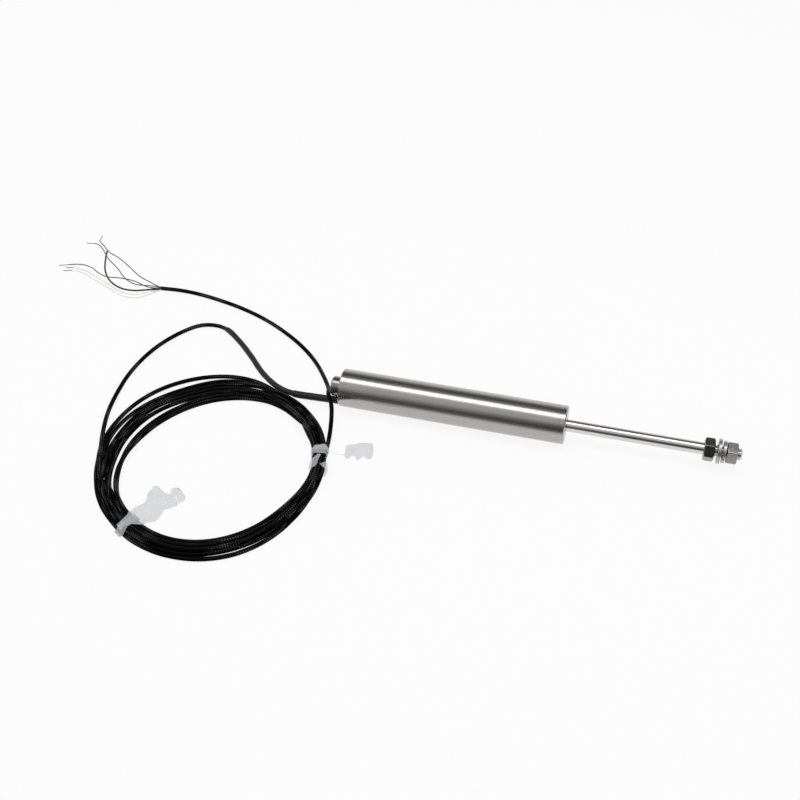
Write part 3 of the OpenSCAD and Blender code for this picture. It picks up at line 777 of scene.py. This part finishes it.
def film_leaf(left, right, start, end, crumple):
    """A leaf of film between four border curves, given as x, y and height above the floor.

    start and end list only the points between their corners, which are the ends of left and right.
    The sheet is (1-v) left(u) + v right(u) + (1-u) start(v) + u end(v), less the blend of the four
    corners. Two crossed waves crumple it. Where a strand lies d from a point in plan, the sheet
    stays above z + sqrt(R^2 - d^2) of that strand, R being the cable's radius with a small gap.
    Its two faces lie one thickness apart along the normal, and closer at the start.
    """
    rows, columns = 44, 26
    start, end = [left[0], *start, right[0]], [left[-1], *end, right[-1]]
    one, two = (sampled(curve_through(line, 8), rows)[0][:, None] for line in (left, right))
    low, high = (sampled(curve_through(line, 8), columns)[0][None] for line in (start, end))
    u = np.linspace(0, 1, rows)[:, None, None]
    v = np.linspace(0, 1, columns)[None, :, None]
    corners = (1 - u) * ((1 - v) * low[:, :1] + v * low[:, -1:])
    corners = corners + u * ((1 - v) * high[:, :1] + v * high[:, -1:])
    sheet = (1 - v) * one + v * two + (1 - u) * low + u * high - corners
    wave = np.sin(17 * u + 5 * v) * np.sin(11 * v - 6 * u) + 0.6 * np.sin(29 * u - 13 * v)
    sheet[..., 2] += (crumple * u * (1 - 0.5 * u) * wave)[..., 0]
    sheet[..., 2] = FLOOR + np.maximum(sheet[..., 2], LEAF_LOWEST)
    clear = CABLE_R + LEAF_GAP
    far = np.linalg.norm(sheet[:, :, None, :2] - cable_path[None, None, :, :2], axis=-1)
    top = cable_path[:, 2] + np.sqrt(np.clip(clear ** 2 - far ** 2, 0, None))
    sheet[..., 2] = np.maximum(sheet[..., 2], np.where(far < clear, top, -np.inf).max(-1))
    normal = np.cross(np.gradient(sheet, axis=1), np.gradient(sheet, axis=0))
    half = 0.5 * LEAF_THICK * np.clip(4 * u - 1, 0.12, 1)
    normal *= half / np.linalg.norm(normal, axis=-1, keepdims=True)
    return np.concatenate([sheet + normal, (sheet - normal)[:, ::-1]], 1)


def tie_film(name, bands, leaves):
    """One piece of film: bands that close round the coil, and leaves with two end faces."""
    points, quads, loops, base = [], [], [], 0
    for grid, wrap in [(band, True) for band in bands] + [(leaf, False) for leaf in leaves]:
        rows, columns = grid.shape[:2]
        points.append(grid.reshape(-1, 3))
        quads.append(grid_quads(rows, columns, wrap)[0] + base)
        if not wrap:
            loops += [base + loop for loop in end_loops(rows, columns)]
        base += rows * columns
    return piece(name, np.vstack(points), np.vstack(quads), FINISH["tie_film"], "housing",
                 loops=loops)


# Each leaf's left and right borders, and the points between them at its start and at its end
FRONT_LEAF = (
    [(-128.9, -112.7, 5.7), (-127.7, -108.4, 5.6), (-127.3, -103.7, 4.4), (-127.9, -101.1, 2.6),
     (-127.4, -96.4, 1.2), (-124.7, -92.3, 0.9), (-125.3, -87.9, 0.8), (-125.8, -86.3, 0.8),
     (-124.8, -82.9, 0.7), (-125.4, -81, 0.5)],
    [(-125.3, -115.7, 5.6), (-125.2, -113.1, 5.7), (-124, -111.2, 5.7), (-122, -110.2, 5.6),
     (-118.9, -109.1, 4.8), (-118.3, -106.9, 3), (-118.5, -104.4, 1.6), (-115.3, -101.9, 0.9),
     (-114.5, -99.8, 0.9), (-114.3, -96.4, 0.8), (-114, -94.1, 0.8), (-112.3, -92.7, 0.7),
     (-109.4, -89.9, 0.5)],
    [(-127.1, -114.3, 5.7)],
    [(-123, -80.6, 0.6), (-121.2, -82.4, 0.8), (-117.9, -84.4, 0.9), (-114.8, -84.6, 0.9),
     (-111.6, -86.4, 0.7)])
FRONT_LOBE = (
    [(-115.2, -84, 1), (-115.4, -83, 1), (-115.9, -82, 0.9), (-115.6, -79.9, 0.7)],
    [(-109.2, -89.4, 0.8), (-108.9, -88.8, 0.8), (-108.8, -87.9, 0.8), (-107.6, -86.2, 0.6)],
    [(-111.2, -86, 0.9)],
    [(-113.3, -79.4, 0.8), (-110.6, -81.3, 0.8), (-108.1, -84.3, 0.8)])
SIDE_LEAF = (
    [(-51.9, -41.1, 3.6), (-48.1, -40.05, 2.2), (-44.6, -38.75, 1.2), (-44.8, -35.1, 1),
     (-45.2, -31.6, 0.9), (-41.3, -29.8, 0.8), (-39.6, -28.4, 0.7), (-34.9, -27.1, 0.6),
     (-33, -27.6, 0.5)],
    [(-51.8, -41.2, 3.5), (-48, -40.15, 2.1), (-44.5, -38.9, 1.1), (-43.2, -40.3, 0.8),
     (-41.3, -39.8, 0.7), (-41.3, -38.6, 0.8), (-38.9, -38, 0.8), (-38.1, -39.7, 0.6),
     (-36.5, -39.2, 0.6), (-35.8, -37.2, 0.8), (-34.2, -37.1, 0.8), (-33.3, -38.1, 0.6),
     (-31.3, -37.2, 0.5)],
    [(-51.85, -41.15, 3.55)],
    [(-31.9, -31.4, 0.7), (-31.3, -34.8, 0.6)])
SIDE_LOOP_IN = (
    [(-55, -46.8, 7), (-55.8, -49.4, 6.9), (-57, -51.5, 6.2), (-57, -55, 4.6)],
    [(-53.4, -46.7, 7), (-53.3, -50.7, 7), (-53.2, -54.8, 6.6), (-56.1, -56.6, 4.2)],
    [(-54.2, -46.7, 7)],
    [(-56.5, -55.8, 4.4)])
SIDE_LOOP_OUT = (
    [(-52, -53.7, 6.9), (-49.1, -54.7, 6), (-48.9, -56.2, 4.4), (-48.9, -57.2, 3)],
    [(-50.1, -50.5, 6.4), (-48.9, -51, 5.2), (-48.2, -53.5, 3.6), (-48.3, -56.6, 2.6)],
    [(-51, -52.1, 6.9)],
    [(-48.5, -57.1, 2.8)])

tie_front = tie_film(
    "tie_front_film",
    [tie_skin(TIE_FRONT_AT + 0.5, width=4.0, thick=0.25, slant=1.5, loose=0.9)],
    [film_leaf(*FRONT_LEAF, crumple=0.12), film_leaf(*FRONT_LOBE, crumple=0.1)])
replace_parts(tie_front, "tie_front")
tie_side = tie_film(
    "tie_side_film",
    [tie_skin(TIE_SIDE_AT - 0.5, width=6.2, thick=0.2),
     tie_skin(TIE_SIDE_AT, width=3.2, thick=0.15, gap=0.4)],
    [film_leaf(*SIDE_LEAF, crumple=0.15), film_leaf(*SIDE_LOOP_IN, crumple=0.1),
     film_leaf(*SIDE_LOOP_OUT, crumple=0.1)])
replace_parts(tie_side, "tie_side")


# Bared conductors

# Radius, colour and route of each, with heights above LOW. The screen has no colour of its own
CONDUCTORS = {
    "screen_wire": (0.5, None, [
        (-182.5, 66, 0), (-190, 63.2, -0.4), (-198, 60.8, -0.6), (-206, 61.4, -0.6),
        (-214, 66, -0.6), (-221, 74.6, -0.6), (-226, 86, -0.6), (-228.5, 94, -0.6)]),
    "wire_red": (0.3, rgb(0.15, 0.075, 0.075), [
        (-182.5, 66.4, 0.7), (-190, 65.6, 0.8), (-198, 65.2, 0.6), (-206, 69, 0.6),
        (-214, 76.8, 0.6), (-223.5, 84.6, 0.8), (-231.5, 93.6, 0.8), (-237, 97.4, 0.4),
        (-243, 97, 0)]),
    "wire_blue": (0.3, rgb(0.075, 0.095, 0.125), [
        (-182.5, 66.7, -0.5), (-190, 70, -0.6), (-200, 74.6, -0.4), (-210, 82.2, -0.4),
        (-218, 87.4, 0.2), (-225, 89.6, 1.8), (-231, 95, 2), (-235.5, 99.4, 1.4),
        (-236.5, 105.4, 0.6)]),
    "wire_green": (0.3, rgb(0.08, 0.11, 0.09), [
        (-182.5, 65.4, 0.6), (-190, 63.8, 1.2), (-199, 66.2, 2), (-208, 66.8, 2), (-216, 66.6, 1.6),
        (-223, 70, 0.8), (-230, 75, 0), (-238, 76.6, -0.4), (-249, 72.8, -0.6)]),
    "wire_yellow": (0.3, rgb(0.9, 0.88, 0.76), [
        (-182.5, 65.2, -0.4), (-188.5, 58.6, -0.6), (-194.5, 54.6, -0.7), (-203, 55.2, -0.7),
        (-212, 59.6, -0.7), (-222, 64.4, -0.7), (-230, 68.6, -0.7), (-237.5, 70.6, -0.7),
        (-244.5, 68.7, -0.7)]),
    "wire_white": (0.3, rgb(0.92, 0.92, 0.9), [
        (-182.5, 65.7, -0.75), (-189, 61.4, -0.7), (-196, 57.6, -0.7), (-204, 58.2, -0.7),
        (-213, 62.4, -0.7), (-222, 67, -0.7), (-230, 71.2, -0.7), (-237.5, 73, -0.7),
        (-244.5, 72.2, -0.7)]),
}
BARE_TIP = 5.0
BARE_SHARE = 0.72
FLARE = 1.25
FLARE_LENGTH = 4.0


def bared_conductor(node, radius, colour, route):
    """A conductor or the twisted screen from the jacket's end along its route.

    The screen's radius is radius (1 + flare exp(-(s / length)^2)), which opens towards the jacket.
    A conductor is thinner where it is bare.
    """
    path, s = spaced(curve_through(np.array(route) + (0.0, 0.0, LOW), 10), 0.8)
    if colour is None:
        material, slot = FINISH["screen"], "screen"
        r = radius * (1 + FLARE * np.exp(-(s / FLARE_LENGTH) ** 2))
    else:
        bare_from = s[-1] - BARE_TIP
        material = finish(node + "_cover", insulation(colour, bare_from))
        slot = "insulation_" + node.removeprefix("wire_")
        r = radius * np.where(s > bare_from, BARE_SHARE, 1.0)
    made = strand(node + "_strand", path, r, 10, material)
    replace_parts(made, node)


for node_name, wire in CONDUCTORS.items():
    bared_conductor(node_name, *wire)


# Body

body_tube = turned("tube", [
    (-X_TUBE, TUBE_R), (-X_TUBE, BODY_R), (X_TUBE, BODY_R), (X_TUBE, TUBE_R)],
    FINISH["body_steel"], "housing", radius=0.07, sides=160)
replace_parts(body_tube, "body_tube")
X_BUSH = X_FRONT - BUSH_RECESS
front_cap = turned("front_cap", [
    (X_SPIGOT, BUSH_R), (X_SPIGOT, TUBE_R), (X_TUBE, TUBE_R), (X_TUBE, BODY_R),
    (X_FRONT - CHAMFER, BODY_R), (X_FRONT, BODY_R - CHAMFER), (X_FRONT, MOUTH_R + 0.3),
    (X_FRONT - 0.3, MOUTH_R), (X_BUSH, MOUTH_R), (X_BUSH, BUSH_R)],
    FINISH["cap_steel"], "housing", radius=0.07, sides=160)
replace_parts(front_cap, "front_end_cap")
front_bush = turned("front_bush", [
    (X_SPIGOT, BUSH_BORE), (X_SPIGOT, BUSH_R), (X_BUSH, BUSH_R), (X_BUSH, BUSH_BORE + 0.22),
    (X_BUSH - 0.2, BUSH_BORE)], FINISH["bronze"], "housing", radius=0.05, sides=96)
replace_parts(front_bush, "front_bearing_bush")
GROOVE_R = BOSS_R - GROOVE_DEPTH
GROOVE_END = X_REAR - GROOVE_LENGTH
rear_cap = turned("rear_cap", [
    (-X_SPIGOT, BORE_R), (-X_SPIGOT, TUBE_R), (-X_TUBE, TUBE_R), (-X_TUBE, BODY_R),
    (X_REAR + CHAMFER, BODY_R), (X_REAR, BODY_R - CHAMFER), (X_REAR, GROOVE_R),
    (GROOVE_END, GROOVE_R), (GROOVE_END, BOSS_R), (BOSS_END + BOSS_CHAMFER, BOSS_R),
    (BOSS_END, BOSS_R - BOSS_CHAMFER), (BOSS_END, VENT_R), (BORE_END, VENT_R), (BORE_END, BORE_R)],
    FINISH["rear_steel"], "housing", radius=0.08, sides=160)
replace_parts(rear_cap, "rear_end_cap")


def grommet():
    """A rubber ring round the cable in the rear face: a rounded section carried round the exit."""
    x_rear = X_REAR - GROMMET_PROUD
    line = eased([(x_rear, CABLE_R), (x_rear, GROMMET_R), (-X_TUBE, GROMMET_R), (-X_TUBE, CABLE_R)],
                 0.15, True)
    grid = round_axis(line[:, :1], line[:, 1:], full_turn(40)) + (0.0, EXIT[1], EXIT[2])
    return lay_grid("grommet", grid, FINISH["grommet_rubber"], "housing",
                    wrap_rows=True)


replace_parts(grommet(), "cable_grommet")


# Push rod, nuts and washers

PITCH = 1.0
THREAD_DEPTH = 0.56
CENTRE_R = 0.4


def rod_with_thread():
    """The rod turned about X, with a right-hand thread on its end.

    On the thread r(x, a) = rod radius - depth (1 - g), where g = 1.35 |2 f - 1| - 0.14 kept between
    0 and 1, which makes root and crest flat, and f is the fraction of (x - pitch a / 2 pi) / pitch.
    The depth grows over the first turn and a half, and the tip's cone cuts the crests.
    """
    sides, step = 72, 0.1
    plain = eased([(X_COLLAR, CENTRE_R), (X_COLLAR, STUD_R), (X_CORE, STUD_R), (X_CORE, ROD_R),
                   (X_INNER_NUT - 0.4, ROD_R)], 0.1, False)
    a = full_turn(sides)[None, :]
    x = np.arange(X_INNER_NUT - 0.3, X_TIP, step)[:, None]
    f = ((x - PITCH * a / (2 * np.pi)) / PITCH) % 1.0
    crest = np.clip(np.abs(2 * f - 1) * 1.35 - 0.14, 0, 1)
    depth = THREAD_DEPTH * np.clip((x - X_INNER_NUT) / (1.5 * PITCH), 0, 1)
    r = np.minimum(ROD_R - depth * (1 - crest), ROD_R - 0.65 + np.clip(X_TIP - x, 0, None))
    tip = np.array([[ROD_R - 0.75], [CENTRE_R]])
    r = np.vstack([np.repeat(plain[:, 1:], sides, 1), r, np.repeat(tip, sides, 1)])
    x = np.concatenate([plain[:, :1], x, [[X_TIP], [X_TIP]]])
    return lay_grid("rod", round_axis(x, r, a), FINISH["rod_steel"], "rod")


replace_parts(rod_with_thread(), "push_rod")


def hex_nut(name, x0, turn, bore, body):
    """A hexagon nut along X with corners at 0, 60 ... degrees from the Y axis, turned by turn.

    The hexagon is flats / (sum over faces of max(0, cos(a - face))^p)^(1/p), which eases its
    corners, and each end is cut by the cone r = rim + distance * tan 60, joined to the hexagon as
    (hexagon^-q + cone^-q)^(-1/q). The bore has a countersink at both ends.
    """
    sides, p, q, rim, mouth = 240, 90, 40, 4.82, 3.5
    a = full_turn(sides)[None, :]
    face = np.radians(30 + 60 * np.arange(6))[:, None]
    hexagon = FLATS_R / (np.clip(np.cos(a - face), 0, None) ** p).sum(0) ** (1 / p)
    depth = np.concatenate([np.linspace(0, 0.7, 15), [1.2, 2.5, 3.8], np.linspace(4.3, NUT_H, 15)])
    depth = depth[:, None]
    cone = rim + np.minimum(depth, NUT_H - depth) * np.tan(np.radians(60))
    outside = (hexagon[None] ** -q + cone ** -q) ** (-1 / q)
    sink = np.array([(0.0, mouth), (0.0, mouth - 0.08), (0.05, mouth - 0.16), (0.4, bore),
                     (0.5, bore)])
    sink = np.vstack([sink * (-1, 1) + (NUT_H, 0), sink[::-1]])
    r = np.vstack([outside, np.repeat(sink[:, 1:], sides, 1)])
    x = x0 + np.vstack([depth, sink[:, :1]])
    grid = round_axis(x, r, a + np.radians(turn))
    return lay_grid(name, grid, FINISH["nut_steel"], body, wrap_rows=True)


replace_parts(hex_nut("nut_inner", X_INNER_NUT, 0.0, ROD_R, "rod"), "inner_nut")
outer_nut = hex_nut("nut_outer", X_OUTER_NUT, OUTER_NUT_TURN, ROD_R + 0.03, "outer_nut")
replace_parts(outer_nut, "outer_nut")
X_FLAT_END = X_FLAT + WASHER_T
flat_washer = turned("washer_flat", [
    (X_FLAT, WASHER_BORE), (X_FLAT, WASHER_R - 0.25), (X_FLAT + 0.25, WASHER_R),
    (X_FLAT_END - 0.1, WASHER_R), (X_FLAT_END, WASHER_R - 0.1), (X_FLAT_END, WASHER_BORE)],
    FINISH["washer_steel"], "washers", radius=0.1, sides=96)
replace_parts(flat_washer, "flat_washer")


def split_washer():
    """A spring washer: a square section carried once round X, rising a little from end to end."""
    half, bore, outside, rise, slit = 0.68, 3.15, 5.4, 0.34, np.radians(10.0)
    section = eased([(-half, bore), (-half, outside), (half, outside), (half, bore)], 0.14, True)
    t = np.linspace(0, 1, 90)[:, None]
    a = np.pi + slit / 2 + t * (2 * np.pi - slit)
    x = X_SPRING + WASHER_T / 2 + (t - 0.5) * rise + section[None, :, 0]
    return lay_grid("washer_spring", round_axis(x, section[None, :, 1], a), FINISH["washer_steel"],
                    "washers", flip=True)


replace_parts(split_washer(), "spring_washer")

INSIDE = {"coil_former": "former_plastic", "primary_winding": "copper",
          "secondary_winding_front": "copper", "secondary_winding_rear": "copper",
          "magnetic_shield": "magnetic_alloy", "terminal_board": "board", "core": "magnetic_alloy",
          "core_collar": "rod_steel", "guide_bush": "guide_plastic"}
for node_name, finish_name in INSIDE.items():
    for held_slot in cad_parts[node_name].material_slots:
        held_slot.material = FINISH[finish_name]


# Floor, lamps and surroundings

def seen(tree):
    """1 for rays from the camera and for mirrored or refracted ones, 0 for all other light."""
    path = tree.node("ShaderNodeLightPath")
    both = path.math("MAXIMUM", path.part("Is Camera Ray"), path.part("Is Glossy Ray"))
    return both.math("MAXIMUM", both, path.part("Is Transmission Ray"))


def pale_floor():
    """A level square: mostly its own white where it is seen, so that a faint shadow stays.

    Mirrored in metal it is white round the body and falls off to dark on the near side.
    """
    half = 4000.0
    corners = [(-half, -half), (half, -half), (half, half), (-half, half)]
    mesh = bpy.data.meshes.new("floor")
    mesh.from_pydata([(x * MM, y * MM, FLOOR * MM) for x, y in corners], [], [(0, 1, 2, 3)])
    material = bpy.data.materials.new("floor_white")
    tree = Tree(material)
    mirrored = tree.axis("Y").above(-0.085, -0.025) * 0.88 + 0.1
    path = tree.node("ShaderNodeLightPath")
    lit = tree.node("ShaderNodeBsdfDiffuse", {}, {"Color": rgb(0.86, 0.86, 0.86)})
    white = tree.node("ShaderNodeEmission", {}, {"Color": tree.mix(path, mirrored, rgb(1, 1, 1))})
    surface = tree.node("ShaderNodeMixShader", {}, {0: seen(tree) * 0.88, 1: lit, 2: white})
    tree.node("ShaderNodeOutputMaterial", {}, {"Surface": surface})
    mesh.materials.append(material)
    floor = linked("floor", mesh)


pale_floor()


def softbox(name, place, aim, wide, long, watts):
    """A rectangular lamp at place that shines at aim."""
    data = bpy.data.lights.new(name, "AREA")
    data.shape, data.size, data.size_y, data.energy = "RECTANGLE", long, wide, watts
    aimed(name, data, place, Vector(aim) - Vector(place))


softbox("overhead", place=(0.0, -0.02, 1.0), aim=(0.0, 0.0, 0.0), wide=0.4, long=1.6, watts=4.9)


def surroundings():
    """White where the camera looks past the floor, and an even grey for the light it gives.

    Metal mirrors soft bands by the angle atan2(z, y) round the X axis: pale behind, dark above
    that, grey overhead and dark on the near side.
    """
    world = bpy.data.worlds.new("surroundings")
    bpy.context.scene.world = world
    tree = Tree(world)
    way = tree.node("ShaderNodeTexCoord", out="Generated")
    split = tree.node("ShaderNodeSeparateXYZ", {}, {0: way})
    turn = split.math("ARCTAN2", split.part("Z"), split.part("Y")) / (2 * np.pi) + 0.5
    levels = [(-180, 0.1), (0, 0.95), (12, 0.92), (20, 0.72), (34, 0.28), (44, 0.07), (60, 0.12),
              (72, 0.26), (106, 0.66), (132, 0.63), (144, 0.53), (156, 0.31), (168, 0.12),
              (180, 0.1)]
    stops = [(0.5 + angle / 360, level) for angle, level in levels]
    bands = tree.node("ShaderNodeValToRGB", {"stops": stops}, {0: turn})
    near = turn.above(0.87, 0.92) * (1 - turn.above(0.99, 1.0)) * split.above(-0.14, -0.01)
    bands = tree.mix(near * 0.8, bands, rgb(0.02, 0.02, 0.02))
    path = tree.node("ShaderNodeLightPath")
    mirrored = tree.mix(path.part("Is Glossy Ray"), rgb(0.62, 0.62, 0.62), bands)
    colour = tree.mix(path, mirrored, rgb(1, 1, 1))
    back = tree.node("ShaderNodeBackground", {}, {"Color": colour})
    tree.node("ShaderNodeOutputWorld", {}, {"Surface": back})


surroundings()
bpy.context.scene.view_settings.view_transform = "Standard"
